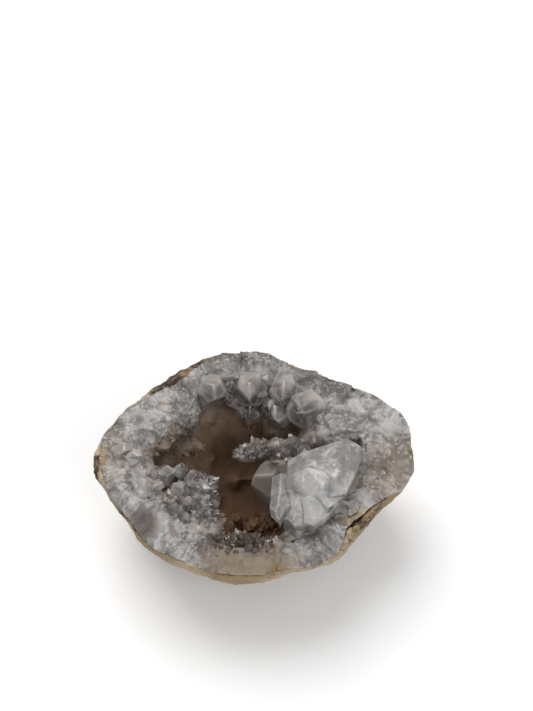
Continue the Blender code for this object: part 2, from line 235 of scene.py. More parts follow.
def sums(tree, operation, first, second):
    """The outcome of one operation, such as ADD or MULTIPLY, on two values or outputs."""
    made = node(tree, "ShaderNodeMath", ((0, first), (1, second)), operation=operation)
    return made.outputs["Value"]


def bumped(tree, shader, height, distance):
    """Gives the shader a relief that rises that many millimetres for a height of 1."""
    inputs = (("Height", height), ("Distance", distance * MM), ("Strength", 1.0))
    tree.links.new(node(tree, "ShaderNodeBump", inputs).outputs["Normal"], shader.inputs["Normal"])


def near(tree, place, middle, reach, soft):
    """1 inside an ellipsoid round a middle in millimetres, fading to 0 over a soft edge."""
    inputs = (("Vector", place), ("Location", [-m / r for m, r in zip(middle, reach)]),
              ("Scale", [1 / (r * MM) for r in reach]))
    inside = node(tree, "ShaderNodeMapping", inputs).outputs["Vector"]
    distance = node(tree, "ShaderNodeVectorMath", ((0, inside),), operation="LENGTH").outputs["Value"]
    return ramp(tree, distance, 1 + soft, 1 - soft)


def rind_finish():
    material, tree, shader = start_finish("limestone", 0.9)
    place = place_of(tree)
    broad = speckle(tree, place, 14.0, detail=3.0)
    middling = speckle(tree, place, 3.5, detail=5.0, distortion=0.6)
    fine = speckle(tree, place, 0.7, detail=3.0)
    flattened = node(tree, "ShaderNodeMapping", (("Vector", place), ("Scale", (1.0, 1.0, 5.0))))
    layers = speckle(tree, flattened.outputs["Vector"], 4.0, detail=5.0, roughness=0.65, distortion=0.4)
    tan = mixed(tree, ramp(tree, broad, 0.38, 0.62), (0.27, 0.185, 0.09), (0.42, 0.335, 0.215))
    sandy = mixed(tree, ramp(tree, fine, 0.45, 0.75, 0.0, 0.5), tan, (0.52, 0.46, 0.365))
    colour = mixed(tree, ramp(tree, middling, 0.56, 0.70, 0.0, 0.8), sandy, (0.10, 0.065, 0.04))
    # Painted shade: inside the crumbled patch the colour is darkened almost to black along cracks.
    cracks = ramp(tree, middling, 0.50, 0.56)
    crack_shade = sums(tree, "MULTIPLY", near(tree, place, *RIND_BREAK, 0.4), cracks)
    colour = mixed(tree, sums(tree, "MULTIPLY", crack_shade, 0.85), colour, (0.05, 0.03, 0.018))
    dark = mixed(tree, ramp(tree, fine, 0.4, 0.7), (0.022, 0.019, 0.017), (0.075, 0.055, 0.042))
    streaked = mixed(tree, ramp(tree, layers, 0.50, 0.60), dark, (0.26, 0.17, 0.075))
    for middle, reach in RIND_STAINS:
        patch = near(tree, place, middle, reach, 0.6)
        ragged = ramp(tree, sums(tree, "ADD", patch, sums(tree, "MULTIPLY", middling, 1.6)), 1.05, 1.45)
        colour = mixed(tree, ragged, colour, streaked)
    tree.links.new(colour, shader.inputs["Base Color"])
    relief = sums(tree, "ADD", sums(tree, "MULTIPLY", middling, 1.5), sums(tree, "ADD", fine, layers))
    bumped(tree, shader, relief, 0.5)
    return material


def within(place, zone):
    """1 at the middle of an ellipsoid, falling to 0 at its edge, for a place in millimetres."""
    middle, reach = zone
    return max(0.0, 1 - sum(((p - m) / r) ** 2 for p, m, r in zip(place, middle, reach)))


bm = surface_of("rind")
bmesh.ops.join_triangles(bm, faces=bm.faces, angle_face_threshold=1.0, angle_shape_threshold=1.2)
bm = subdivided(bm, RIND_SMOOTHING)
bm.normal_update()
for vertex in bm.verts:
    place = vertex.co / MM
    lump = noise.fractal(place / RIND_LUMPS[0], 1.0, 2.0, 3)
    grain = noise.fractal(place / RIND_GRAIN[0], 1.0, 2.2, 3)
    from_pit = noise.voronoi(place / RIND_PIT_SPACING)[0][0]
    pit = max(0.0, RIND_PIT_WIDTH - from_pit) * RIND_PIT_SLOPE
    layer = 1.0 + 0.8 * noise.noise(Vector((place.x / 5, place.y / 5, place.z * 1.6)))
    crevice = max(0.0, noise.noise(place / 1.7) + 0.35 * noise.noise(place / 0.7))
    rise = lump * RIND_LUMPS[1] + grain * RIND_GRAIN[1] - pit + RIND_THICKENING
    rise += sum(within(place, ledge) for ledge in RIND_LEDGES) * layer
    rise -= within(place, RIND_BREAK) * crevice * RIND_CREVICE_DEPTH
    vertex.co += vertex.normal * rise * MM
    vertex.co.z = max(vertex.co.z, 0.0)
make_piece("stone_rind", bm, rind_finish(), "rind", 60)


# The quartz wall
# Massive milky quartz, grown inwards from the rind in coarse columns and snapped across: a sugary face
# of chips and cracks, white where it's full of small flaws and grey where it's clear.

BROKEN_FROM = 33  # how high the broken face starts, at the stone's middle
BROKEN_RISE = 0.08  # how much higher it starts for each millimetre towards the back
BROKEN_SLANT = 0.25  # the least upward part of a broken face's normal
WALL_CUTS = 10  # how often its edges are cut, to carry the chips
WALL_CHIPS = ((4.6, 0.5), (2.0, 0.4), (1.0, 0.3))  # (size, steepness)
WALL_SWELLS = (6.0, 0.5)  # (width, height)
WALL_SPREAD = 1.25  # how far the broken edge reaches out over the rind
WALL_SPREAD_RISE = 3.0  # the height over which it comes to do so
BARE_EDGE = ((43.0, -7.0, 40.0), (12.0, 12.0, 8.0))  # where the rind has broken off
WALL_TINTS = (  # (middle, reach, share, colour)
    ((-0.5, -30.5, 36.0), (13.0, 6.0, 5.0), 1.0, (0.20, 0.152, 0.10)),
    ((-31.2, -19.6, 38.5), (4.6, 4.6, 6.0), 1.0, (0.07, 0.05, 0.04)),
    ((39.0, -4.0, 40.0), (9.0, 11.0, 8.0), 0.7, (0.185, 0.142, 0.105)),
    ((29.0, -16.8, 38.5), (5.0, 3.0, 4.0), 0.85, (0.29, 0.225, 0.13)),
    ((-41.0, 1.0, 40.0), (4.0, 9.0, 8.0), 0.4, (0.27, 0.215, 0.16)),
    ((-46.0, -0.5, 39.0), (2.8, 6.5, 6.0), 0.85, (0.31, 0.20, 0.09)),
    ((20.0, 24.5, 42.0), (14.0, 5.0, 6.0), 0.75, (0.11, 0.096, 0.088)),
    ((-20.0, 21.5, 41.0), (5.0, 4.0, 6.0), 0.35, (0.15, 0.13, 0.12)),
    ((-24.9, -25.1, 38.0), (1.2, 1.0, 2.5), 0.8, (0.30, 0.20, 0.09)),
    ((-15.6, 23.1, 42.0), (0.7, 0.7, 2.0), 0.8, (0.28, 0.17, 0.08)),
    ((-37.3, -7.0, 41.0), (0.7, 0.7, 2.0), 0.6, (0.26, 0.13, 0.06)),
    ((-27.7, 17.5, 41.0), (1.3, 0.9, 2.0), 0.6, (0.30, 0.17, 0.06)),
    ((6.9, -32.9, 36.0), (2.0, 1.6, 3.0), 0.9, (0.20, 0.12, 0.035)),
    # The next tint is painted shade, darkening the pit in the broken face.
    ((30.0, 6.0, 41.0), (1.9, 1.7, 4.0), 0.9, (0.06, 0.04, 0.028)),
)
WALL_PIT = ((30.0, 5.9, 42.0), (2.3, 2.1, 8.0))
WALL_PIT_DEPTH = 5.0
RIND_SHOWS = ((-36.0, -21.0, 37.0), (14.0, 9.0, 8.0))  # where the wall stops short of the rind
SMOOTH_PATCHES = (  # where the break is even and dull: the beige patch in front, and the smoky one
    ((-0.5, -30.5, 36.0), (15.0, 7.0, 7.0)), ((-31.2, -19.6, 38.5), (6.5, 6.5, 8.0)),
)
WALL_CLOUDS = (  # the whitest patches
    ((-34.5, -8.0, 41.0), (7.0, 9.0, 6.0)), ((-24.5, -20.5, 40.0), (7.0, 5.0, 6.0)),
    ((40.0, 13.5, 42.0), (6.0, 4.0, 6.0)), ((-29.0, 16.0, 41.0), (7.0, 3.5, 6.0)),
    ((31.0, 18.0, 42.0), (6.0, 3.0, 6.0)), ((32.0, -12.5, 40.0), (5.0, 4.0, 5.0)),
)
FLECKED_EDGE = ((4.0, 36.5, 41.0), (34.0, 6.5, 8.0))  # where dark rind stone is mixed into the quartz
COLUMN_CENTRE = Vector((-5.2, -1.5))  # what the columns grew towards
COLUMN_RADIUS = 30.0  # how far out a chip is as wide as its size says
COLUMN_STRETCH = 0.42  # how wide it is there for its length
COLUMN_RISE = 0.7  # and for its height


def finer(bm, faces, cuts):
    """Cuts the faces' edges that many times each, and makes the whole bmesh triangles."""
    chosen = set(faces)
    edges = [edge for edge in bm.edges if not chosen.isdisjoint(edge.link_faces)]
    bmesh.ops.subdivide_edges(bm, edges=edges, cuts=cuts, use_grid_fill=True)
    bmesh.ops.triangulate(bm, faces=bm.faces)


def along_columns(place):
    """The place on axes along which the wall's columns are as long as they are wide."""
    out = Vector((place.x, place.y)) - COLUMN_CENTRE
    side = out.normalized() * COLUMN_RADIUS
    return Vector((side.x, side.y, out.length * COLUMN_STRETCH + place.z * COLUMN_RISE))


def facets(tree, place, size):
    """Height in millimetres of a surface broken into flat facets, each at a slant of its own."""
    cell = node(tree, "ShaderNodeTexVoronoi", (("Vector", place), ("Scale", 1 / (size * MM))))
    offset = node(tree, "ShaderNodeVectorMath", ((0, place), (1, cell.outputs["Position"])),
                  operation="SUBTRACT").outputs["Vector"]
    slant = node(tree, "ShaderNodeVectorMath", ((0, cell.outputs["Color"]), (1, (0.5, 0.5, 0.5))),
                 operation="SUBTRACT").outputs["Vector"]
    height = node(tree, "ShaderNodeVectorMath", ((0, offset), (1, slant)), operation="DOT_PRODUCT")
    return sums(tree, "DIVIDE", height.outputs["Value"], MM)


def subsurface(shader, weight, radius, scale):
    """Lets light spread under the surface, each colour as far as its radius times the scale."""
    shader.inputs["Subsurface Weight"].default_value = weight
    shader.inputs["Subsurface Radius"].default_value = radius
    shader.inputs["Subsurface Scale"].default_value = scale * MM


def quartz_wall_finish():
    material, tree, shader = start_finish("broken_milky_quartz", 0.3)
    place = place_of(tree)
    column = node(tree, "ShaderNodeAttribute", attribute_name="column").outputs["Vector"]
    cloud = speckle(tree, place, 6.0, detail=5.0, roughness=0.55, distortion=0.8)
    streaks = speckle(tree, column, 2.6, detail=6.0, roughness=0.65, distortion=1.0)
    wisps = speckle(tree, place, 2.2, detail=3.5, roughness=0.55, distortion=1.8)
    sugar = speckle(tree, place, 0.6, detail=2.0)
    milk = sums(tree, "ADD", sums(tree, "MULTIPLY", cloud, 0.8), sums(tree, "MULTIPLY", wisps, 0.25))
    milk = sums(tree, "ADD", milk, sums(tree, "MULTIPLY", streaks, 0.3))
    for middle, reach in WALL_CLOUDS:
        patch = near(tree, place, middle, reach, 0.7)
        milk = sums(tree, "ADD", milk, sums(tree, "MULTIPLY", patch, 0.08))
    whiteness = ramp(tree, milk, 0.57, 0.85)
    quartz = mixed(tree, whiteness, (0.148, 0.132, 0.12), (0.385, 0.372, 0.36))
    colour = mixed(tree, ramp(tree, sugar, 0.55, 0.72, 0.0, 0.18), quartz, (0.54, 0.53, 0.52))
    uneven = ramp(tree, streaks, 0.38, 0.60, 0.8, 1.0)
    for middle, reach, share, tint in WALL_TINTS:
        patch = sums(tree, "MULTIPLY", near(tree, place, middle, reach, 0.5), share)
        colour = mixed(tree, sums(tree, "MULTIPLY", patch, uneven), colour, tint)
    grit = ramp(tree, wisps, 0.47, 0.57)
    gritty = sums(tree, "MULTIPLY", near(tree, place, *FLECKED_EDGE, 0.25), grit)
    colour = mixed(tree, sums(tree, "MULTIPLY", gritty, 0.8), colour, (0.055, 0.05, 0.047))
    tree.links.new(colour, shader.inputs["Base Color"])
    subsurface(shader, 0.55, (1.0, 0.9, 0.8), 3.0)
    relief = sums(tree, "MULTIPLY", facets(tree, place, 1.1), 0.4)
    relief = sums(tree, "ADD", facets(tree, column, 2.8), relief)
    dullness = ramp(tree, whiteness, 0.0, 1.0, 0.12, 0.42)
    for middle, reach in WALL_CLOUDS:
        patch = ramp(tree, near(tree, place, middle, reach, 0.6), 0.0, 1.0, 1.0, 0.6)
        relief = sums(tree, "MULTIPLY", relief, patch)
    for middle, reach in SMOOTH_PATCHES:
        patch = near(tree, place, middle, reach, 0.3)
        relief = sums(tree, "MULTIPLY", relief, ramp(tree, patch, 0.0, 1.0, 1.0, 0.5))
        dullness = sums(tree, "MAXIMUM", dullness, sums(tree, "MULTIPLY", patch, 0.62))
    tree.links.new(dullness, shader.inputs["Roughness"])
    bumped(tree, shader, sums(tree, "ADD", relief, sums(tree, "MULTIPLY", wisps, 0.4)), 0.5)
    return material


bm = surface_of("quartz_wall")
broken = [face for face in bm.faces
          if face.calc_center_median().z > BROKEN_FROM * MM and face.normal.z > BROKEN_SLANT]
finer(bm, broken, WALL_CUTS)
bm.normal_update()
column_layer = bm.verts.layers.float_vector.new("column")
for vertex in bm.verts:
    place = vertex.co / MM
    column = along_columns(place)
    vertex[column_layer] = column * MM
    above_start = place.z - (BROKEN_FROM + BROKEN_RISE * place.y)
    if above_start < 0:
        continue
    rise = sum(chips(column, size) * steep for size, steep in WALL_CHIPS)
    rise *= 1 - sum(within(place, patch) for patch in SMOOTH_PATCHES)
    rise *= 1 - 0.5 * max(within(place, patch) for patch in WALL_CLOUDS)
    swell = noise.fractal(place / WALL_SWELLS[0], 1.0, 2.0, 3) * WALL_SWELLS[1]
    rise += swell - WALL_PIT_DEPTH * within(place, WALL_PIT)
    drawn_in = sum(within(place, zone) for zone in RIND_LEDGES) + 0.6 * within(place, RIND_SHOWS)
    spread = WALL_SPREAD * (1 + within(place, BARE_EDGE) - drawn_in)
    outward = Vector((vertex.normal.x, vertex.normal.y, 0))
    faces_out = outward.dot(Vector((*COLUMN_CENTRE, 0)) - Vector((place.x, place.y, 0))) < 0
    outward *= spread * min(1.0, above_start / WALL_SPREAD_RISE) if faces_out else 0.0
    vertex.co += (outward + Vector((0, 0, rise))) * MM
wall_surface = BVHTree.FromBMesh(bm)
make_piece("broken_quartz", bm, quartz_wall_finish(), "quartz_wall", 34)


# The crystals' bed
# The massive quartz under the crystals, which lines the hollow and swells where a cluster stands on it.
# It's smoky brown deep in the hollow, with painted shade at its floor, and grey-white near the broken
# face.

BED_VOXEL = 0.7  # how fine its skin is
BED_SMOOTHING = 3  # rounds
BED_LUMPS = (2.5, 0.35)  # (width, height)
BED_REACH = 3.0  # how near the wall has to be for the bed to meet it
BED_SINK = 1.1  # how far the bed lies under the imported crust, so that the crystals stand out of it
BED_SPREAD = 1.0  # how far it reaches into the wall, to leave no gap
BED_SHELVES = (  # (middle, reach) of the swellings on the hollow's walls
    ((-10.0, 26.5, 33.0), (9.0, 4.5, 6.0)), ((3.0, 28.5, 33.5), (12.0, 4.5, 6.2)),
    ((19.5, 20.5, 33.0), (8.0, 7.0, 6.4)),
    ((-32.5, -4.0, 34.0), (6.0, 9.0, 5.5)), ((-3.0, -27.0, 29.5), (16.0, 4.0, 5.5)),
    ((-17.0, -19.0, 31.0), (9.0, 7.0, 7.0)),
)
SMOKY_EDGES = (  # where the quartz near the broken face is smoky too
    ((0.0, -24.5, 32.0), (16.0, 6.5, 7.0)), ((-22.0, 7.0, 34.5), (12.0, 10.0, 7.0)),
    ((1.0, -4.0, 36.0), (8.0, 7.0, 9.0)),
)
HOLLOW_MIDDLE = Vector((-5.0, -1.0, 34.0))


def remeshed(bm, voxel):
    """The bmesh as one even skin of small quads."""
    mesh = bpy.data.meshes.new("cage")
    bm.to_mesh(mesh)
    bm.free()
    cage = bpy.data.objects.new("cage", mesh)
    bpy.context.scene.collection.objects.link(cage)
    skin = cage.modifiers.new("skin", "REMESH")
    skin.mode = "VOXEL"
    skin.voxel_size = voxel * MM
    made = bmesh.new()
    made.from_object(cage, bpy.context.evaluated_depsgraph_get())
    bpy.data.objects.remove(cage)
    return made


def smoky_colour(tree, place):
    """Brown deep in the hollow, grey-white at the broken face, cloudy in patches, painted shade at the
    floor.
    """
    height = node(tree, "ShaderNodeSeparateXYZ", (("Vector", place),)).outputs["Z"]
    depth = ramp(tree, height, 39 * MM, 21 * MM)
    cloud = ramp(tree, speckle(tree, place, 5.0, detail=4.0, distortion=0.5), 0.35, 0.65)
    pale = mixed(tree, cloud, (0.24, 0.207, 0.188), (0.342, 0.314, 0.294))
    brown = mixed(tree, cloud, (0.20, 0.125, 0.075), (0.30, 0.20, 0.13))
    smoky = mixed(tree, depth, pale, brown)
    for middle, reach in SMOKY_EDGES:
        patch = sums(tree, "MULTIPLY", near(tree, place, middle, reach, 0.35), 0.85)
        smoky = mixed(tree, patch, smoky, (0.14, 0.10, 0.072))
    # Painted shade: towards the hollow's floor the smoky brown darkens almost to black.
    floor_shade = ramp(tree, height, 22 * MM, 9 * MM, 0.0, 0.85)
    return mixed(tree, floor_shade, smoky, (0.08, 0.033, 0.009))


def bed_finish():
    material, tree, shader = start_finish("smoky_quartz_bed", 0.35)
    place = place_of(tree)
    tree.links.new(smoky_colour(tree, place), shader.inputs["Base Color"])
    subsurface(shader, 0.2, (1.0, 0.85, 0.7), 1.2)
    height = node(tree, "ShaderNodeSeparateXYZ", (("Vector", place),)).outputs["Z"]
    tree.links.new(ramp(tree, height, 20 * MM, 34 * MM, 0.85, 0.35), shader.inputs["Roughness"])
    relief = sums(tree, "MULTIPLY", facets(tree, place, 1.0), 0.7)
    relief = sums(tree, "ADD", facets(tree, place, 2.4), relief)
    crispness = ramp(tree, height, 18 * MM, 32 * MM, 0.25, 1.0)
    bumped(tree, shader, sums(tree, "MULTIPLY", relief, crispness), 0.7)
    return material


bm = surface_of("crystal_crust")
for middle, reach in BED_SHELVES:
    shelf = bmesh.ops.create_icosphere(bm, subdivisions=3, radius=MM)["verts"]
    bmesh.ops.scale(bm, verts=shelf, vec=reach)
    bmesh.ops.translate(bm, verts=shelf, vec=Vector(middle) * MM)
bm = remeshed(bm, BED_VOXEL)
for _ in range(BED_SMOOTHING):
    bmesh.ops.smooth_vert(bm, verts=bm.verts, factor=0.5,
                          use_axis_x=True, use_axis_y=True, use_axis_z=True)
bm.normal_update()
for vertex in bm.verts:
    place = vertex.co / MM
    lump = noise.fractal(place / BED_LUMPS[0], 1.0, 2.0, 3) * BED_LUMPS[1]
    meets_wall = wall_surface.ray_cast(vertex.co, vertex.normal, BED_REACH * MM)[0] is not None
    vertex.co += vertex.normal * (BED_SPREAD if meets_wall else lump - BED_SINK) * MM
bm.normal_update()
bed_surface = BVHTree.FromBMesh(bm)
bed_quartz = bed_finish()
make_piece("crystal_bed", bm, bed_quartz, "crystal_crust", 60)


# The large clear crystals
# Six-sided quartz points placed one by one: the row along the back, the ones set in the broken face on
# the left, and the arm of clear ones that reaches over the hollow. Each is cloudy at its root.

POINT_SLOPE = math.radians(51.8)  # from a quartz point's axis to the normals of its end faces
POINT_WIDTHS = (0.88, 1.15)  # how wide a point is for its thickness
POINT_TAPER = 1.05  # the radius at its root for a radius of 1 at its end
POINT_WEAR = 0.12  # the width of its worn edges, for a radius of 1, as are the next two
FACE_DROPS = (0.0, 0.45)  # how far each end face is cut below the tip
MAIN_FACE_DROP = 0.35  # how much farther the largest one is
QUARTZ_IOR = 1.54
BACK_POINTS = (  # (tip, axis, radius, length), here and in the other lists of points
    ((-12.0, 15.2, 42.4), (0.10, -0.88, 0.46), 5.4, 16),
    ((-18.5, 16.5, 40.2), (0.40, -0.70, 0.60), 2.9, 10),
    ((-1.1, 15.4, 42.2), (-0.05, -0.90, 0.43), 5.6, 16),
    ((8.4, 15.4, 43.4), (-0.12, -0.86, 0.50), 5.4, 16),
    ((4.8, 15.4, 39.4), (-0.1, -0.75, 0.66), 3.4, 10),
    ((14.6, 11.4, 45.2), (-0.15, -0.62, 0.75), 6.2, 14),
    ((5.8, 11.8, 38.0), (-0.15, -0.80, 0.50), 4.8, 13),
    ((-4.4, 15.9, 38.2), (-0.2, -0.6, 0.75), 1.9, 9),
    ((-2.4, 15.2, 36.8), (0.1, -0.7, 0.7), 1.6, 9), ((-0.7, 15.9, 38.2), (0.1, -0.6, 0.8), 1.8, 9),
    ((1.1, 15.2, 37.2), (0.2, -0.6, 0.7), 1.5, 9), ((-6.9, 22.9, 43.2), (0.0, -0.4, 0.9), 1.9, 8),
    ((-7.4, 19.0, 41.6), (0.1, -0.5, 0.85), 1.7, 8), ((2.9, 19.4, 42.4), (0.1, -0.5, 0.85), 1.8, 8),
)
ARM_POINTS = (
    ((-1.2, 10.2, 34.0), (-0.2, 0.3, 0.9), 2.3, 5), ((-5.8, 5.1, 32.0), (-0.8, -0.2, 0.6), 1.6, 5),
    ((-3.7, 6.7, 33.0), (-0.5, 0.1, 0.85), 1.7, 5), ((-1.4, 4.8, 32.5), (-0.3, -0.5, 0.8), 2.1, 5),
    ((0.9, 5.8, 33.5), (0.1, -0.3, 0.9), 2.1, 5), ((1.9, 7.8, 34.0), (0.0, 0.2, 0.95), 1.7, 5),
    ((3.6, 4.9, 33.5), (0.2, -0.5, 0.8), 1.6, 5), ((5.2, 7.0, 36.5), (-0.25, -0.25, 0.9), 3.0, 8),
    ((8.4, 6.9, 37.5), (0.1, -0.2, 0.95), 2.3, 7), ((10.7, 9.4, 38.8), (-0.1, 0.35, 0.9), 2.1, 8),
    ((10.0, -0.9, 40.0), (-0.45, -0.1, 0.85), 2.7, 8), ((12.9, 6.9, 39.5), (0.0, 0.1, 0.95), 2.0, 7),
    ((14.8, 4.1, 40.5), (0.0, 0.0, 1.0), 2.0, 7), ((8.4, 4.4, 36.5), (-0.3, -0.2, 0.9), 1.6, 6),
)
BAND_POINTS = (
    ((-37.4, -0.4, 41.5), (0.15, -0.62, 0.77), 4.4, 10),
    ((-31.0, -1.5, 41.2), (0.6, -0.45, 0.65), 3.3, 10),
)


def join_into(bm, small):
    """Adds a small bmesh to a large one, because an operator on a large one is slow."""
    mesh = bpy.data.meshes.new("part")
    small.to_mesh(mesh)
    small.free()
    bm.from_mesh(mesh)
    bpy.data.meshes.remove(mesh)


def mark_clearness(small, tip, length):
    """Stores how near each vertex lies to the clear tip, from 1 there to 0 at the cloudy root."""
    layer = small.verts.layers.float.new("clearness")
    for vertex in small.verts:
        vertex[layer] = 1 - min(1.0, (vertex.co - tip).length / length)


def cut_flat(small, place, normal):
    """Cuts away what lies beyond a plane, and closes the cut with one flat face."""
    parts = small.verts[:] + small.edges[:] + small.faces[:]
    cut = bmesh.ops.bisect_plane(small, geom=parts, plane_co=place, plane_no=normal, clear_outer=True)
    rim = [item for item in cut["geom_cut"] if isinstance(item, bmesh.types.BMEdge)]
    if rim:
        bmesh.ops.edgeloop_fill(small, edges=rim)


def wear_edges(small, width):
    """Rounds the edges a little, and stores 1 on the vertices along them and 0 inside the faces."""
    bmesh.ops.bevel(small, geom=small.edges[:], offset=0.6 * width, segments=2, affect="EDGES",
                    profile=0.5, material=-1)
    inner = [face for face in small.faces
             if face.calc_area() > 3 * width * max(edge.calc_length() for edge in face.edges)]
    bmesh.ops.inset_individual(small, faces=inner, thickness=width, use_even_offset=True)
    layer = small.verts.layers.float.new("worn_and_highlighted")
    for vertex in small.verts:
        vertex[layer] = 1.0
    for face in inner:
        for vertex in face.verts:
            vertex[layer] = 0.0


def stand_at(small, place, axis, turn):
    """Turns an upright crystal to its axis and puts it in its place, from millimetres to metres."""
    aim = axis.to_track_quat("Z", "Y").to_matrix().to_4x4()
    matrix = Matrix.Scale(MM, 4) @ Matrix.Translation(place) @ aim @ Matrix.Rotation(turn, 4, "Z")
    bmesh.ops.transform(small, matrix=matrix, verts=small.verts)


def large_point(bm, tip, axis, radius, length, seed):
    """A six-sided crystal that ends in six faces of unequal size, its edges slightly rounded."""
    chance = random.Random(seed)
    small = bmesh.new()
    bmesh.ops.create_cone(small, cap_ends=True, segments=6, radius1=radius * POINT_TAPER,
                          radius2=radius, depth=length)
    bmesh.ops.translate(small, verts=small.verts, vec=(0, 0, -length / 2))
    bmesh.ops.scale(small, verts=small.verts, vec=(chance.uniform(*POINT_WIDTHS), 1, 1))
    turn = chance.uniform(0, 60)
    main_face = chance.randrange(6)
    for k in range(6):
        side = math.radians(60 * k + 30)
        out = math.sin(POINT_SLOPE)
        normal = Vector((math.cos(side) * out, math.sin(side) * out, math.cos(POINT_SLOPE)))
        drop = chance.uniform(*FACE_DROPS) + (MAIN_FACE_DROP if k == main_face else 0.0)
        cut_flat(small, Vector((0, 0, -drop * radius)), normal)
    wear_edges(small, POINT_WEAR * radius)
    mark_clearness(small, Vector((0, 0, 0)), length)
    stand_at(small, Vector(tip), Vector(axis), math.radians(turn))
    bmesh.ops.triangulate(small, faces=small.faces)
    join_into(bm, small)


def add_points(bm, points, first_seed):
    """Adds each point of a list as a large crystal, with a seed of its own."""
    for seed, (tip, axis, radius, length) in enumerate(points, first_seed):
        large_point(bm, tip, axis, radius, length, seed)


def clear_finish(name, glow, clearest, roughness, absorption, density):
    """Glassy quartz, cloudy at the root and in drifting veils, clear towards the tip.

    It has the bed's own colours, which glow lightens. At the tip it lets the share clearest through.
    """
    material, tree, shader = start_finish(name, roughness)
    place = place_of(tree)
    clearness = node(tree, "ShaderNodeAttribute", attribute_name="clearness").outputs["Fac"]
    veil = speckle(tree, place, 4.5, detail=2.0, roughness=0.5, distortion=0.6)
    clear = sums(tree, "ADD", clearness, sums(tree, "MULTIPLY", ramp(tree, veil, 0.3, 0.7), 0.4))
    worn_and_highlighted = node(tree, "ShaderNodeAttribute", attribute_name="worn_and_highlighted").outputs["Fac"]
    unworn = sums(tree, "SUBTRACT", 1.0, sums(tree, "MULTIPLY", worn_and_highlighted, 0.15))
    through = sums(tree, "MULTIPLY", unworn, ramp(tree, clear, 0.25, 1.1, 0.3, clearest))
    tree.links.new(through, shader.inputs["Transmission Weight"])
    surface_colour = mixed(tree, glow, smoky_colour(tree, place), (0.88, 0.81, 0.755))
    # Painted highlight: the edges are lightened a little, partly as frosted wear and partly as light
    # catching them.
    surface_colour = mixed(tree, sums(tree, "MULTIPLY", worn_and_highlighted, 0.06), surface_colour, (0.8, 0.78, 0.76))
    tree.links.new(surface_colour, shader.inputs["Base Color"])
    subsurface(shader, 0.3, (1.0, 0.9, 0.8), 2.0)
    shader.inputs["IOR"].default_value = QUARTZ_IOR
    bumped(tree, shader, speckle(tree, place, 1.5, detail=2.0), 0.08)
    volume = node(tree, "ShaderNodeVolumeAbsorption")
    volume.inputs["Color"].default_value = (*absorption, 1.0)
    volume.inputs["Density"].default_value = density
    tree.links.new(volume.outputs["Volume"], tree.nodes["Material Output"].inputs["Volume"])
    return material


clear_quartz = clear_finish("clear_quartz", glow=0.22, clearest=0.9, roughness=0.08,
                            absorption=(0.75, 0.70, 0.67), density=20.0)
small_clear = clear_finish("small_clear_quartz", glow=0.2, clearest=0.78, roughness=0.06,
                           absorption=(0.73, 0.63, 0.54), density=40.0)
cloudy_quartz = clear_finish("cloudy_quartz", glow=0.26, clearest=0.5, roughness=0.2,
                             absorption=(0.8, 0.76, 0.73), density=40.0)
for name, points, finish in (("back_points", BACK_POINTS, clear_quartz),
                             ("arm_points", ARM_POINTS, small_clear),
                             ("band_points", BAND_POINTS, cloudy_quartz)):
    bm = bmesh.new()
    add_points(bm, points, 10)
    make_piece(name, bm, finish, "crystal_crust", 45)


# The block and the twin
# A cleaved mass of milky quartz on the right of the hollow, and the grey twinned crystal that leans out
# from under it.

BLOCK_FOOT = 28.0  # where the masses start, deep in the bed
BLOCK_MASSES = (  # each mass's outline, clockwise from above, and the planes that cleave its upper side
    (((9.9, -1.8), (15.0, 0.0), (26.7, 4.2), (32.0, 1.3), (29.5, -6.0), (27.8, -9.5), (26.1, -13.2),
      (21.0, -15.0), (12.0, -14.0), (9.0, -8.0)),
     (((20.0, -5.0, 46.3), (-0.05, -0.12, 0.99)), ((21.0, 1.0, 44.6), (-0.10, 0.34, 0.93)),
      ((29.0, -4.0, 44.0), (0.48, -0.10, 0.87)), ((11.5, -5.0, 43.6), (-0.46, 0.06, 0.88)),
      ((25.0, -9.5, 45.4), (0.22, -0.30, 0.93)))),
    (((9.5, -8.0), (16.0, -6.0), (25.0, -10.0), (26.1, -13.2), (21.6, -17.1), (16.5, -21.7),
      (11.6, -22.1), (8.8, -19.8), (8.4, -14.0)),
     (((16.0, -12.0, 45.9), (-0.06, -0.20, 0.98)), ((15.0, -18.5, 43.4), (0.06, -0.50, 0.86)),
      ((9.8, -14.0, 43.0), (-0.52, -0.12, 0.84)), ((23.0, -14.5, 43.8), (0.42, -0.30, 0.86)))),
    (((13.5, -15.5), (20.0, -14.0), (22.6, -16.5), (20.4, -19.5), (17.0, -22.2), (13.4, -21.4)),
     (((18.0, -18.5, 43.8), (0.24, -0.36, 0.90)), ((15.0, -19.6, 43.6), (-0.30, -0.42, 0.86)),
      ((20.6, -16.6, 43.6), (0.48, -0.10, 0.87)))),
)
BLOCK_CLEAVES = 9  # how many corners are chipped off each mass
CLEAVE_DEPTH = (0.15, 0.7)
BLOCK_WEAR = 0.35
BLOCK_WHITEST = ((19.0, -16.0, 43.5), (8.0, 6.0, 7.0))
BLOCK_POINTS = (
    ((7.4, -22.6, 41.6), (-0.08, -0.92, 0.12), 3.3, 16), ((24.0, 0.8, 46.4), (0.1, 0.3, 0.95), 3.2, 9),
    ((31.6, 0.9, 44.6), (0.3, 0.1, 0.9), 2.6, 8), ((11.5, -22.5, 40.0), (-0.2, -0.3, 0.9), 2.3, 8),
)
TWIN_POINTS = (
    ((-3.4, -4.0, 36.6), (-0.80, -0.10, 0.58), 6.2, 19),
    ((5.0, 0.6, 38.5), (-0.50, 0.30, 0.80), 4.6, 12),
)


def any_direction(chance):
    return Vector([chance.gauss(0, 1) for _ in range(3)]).normalized()


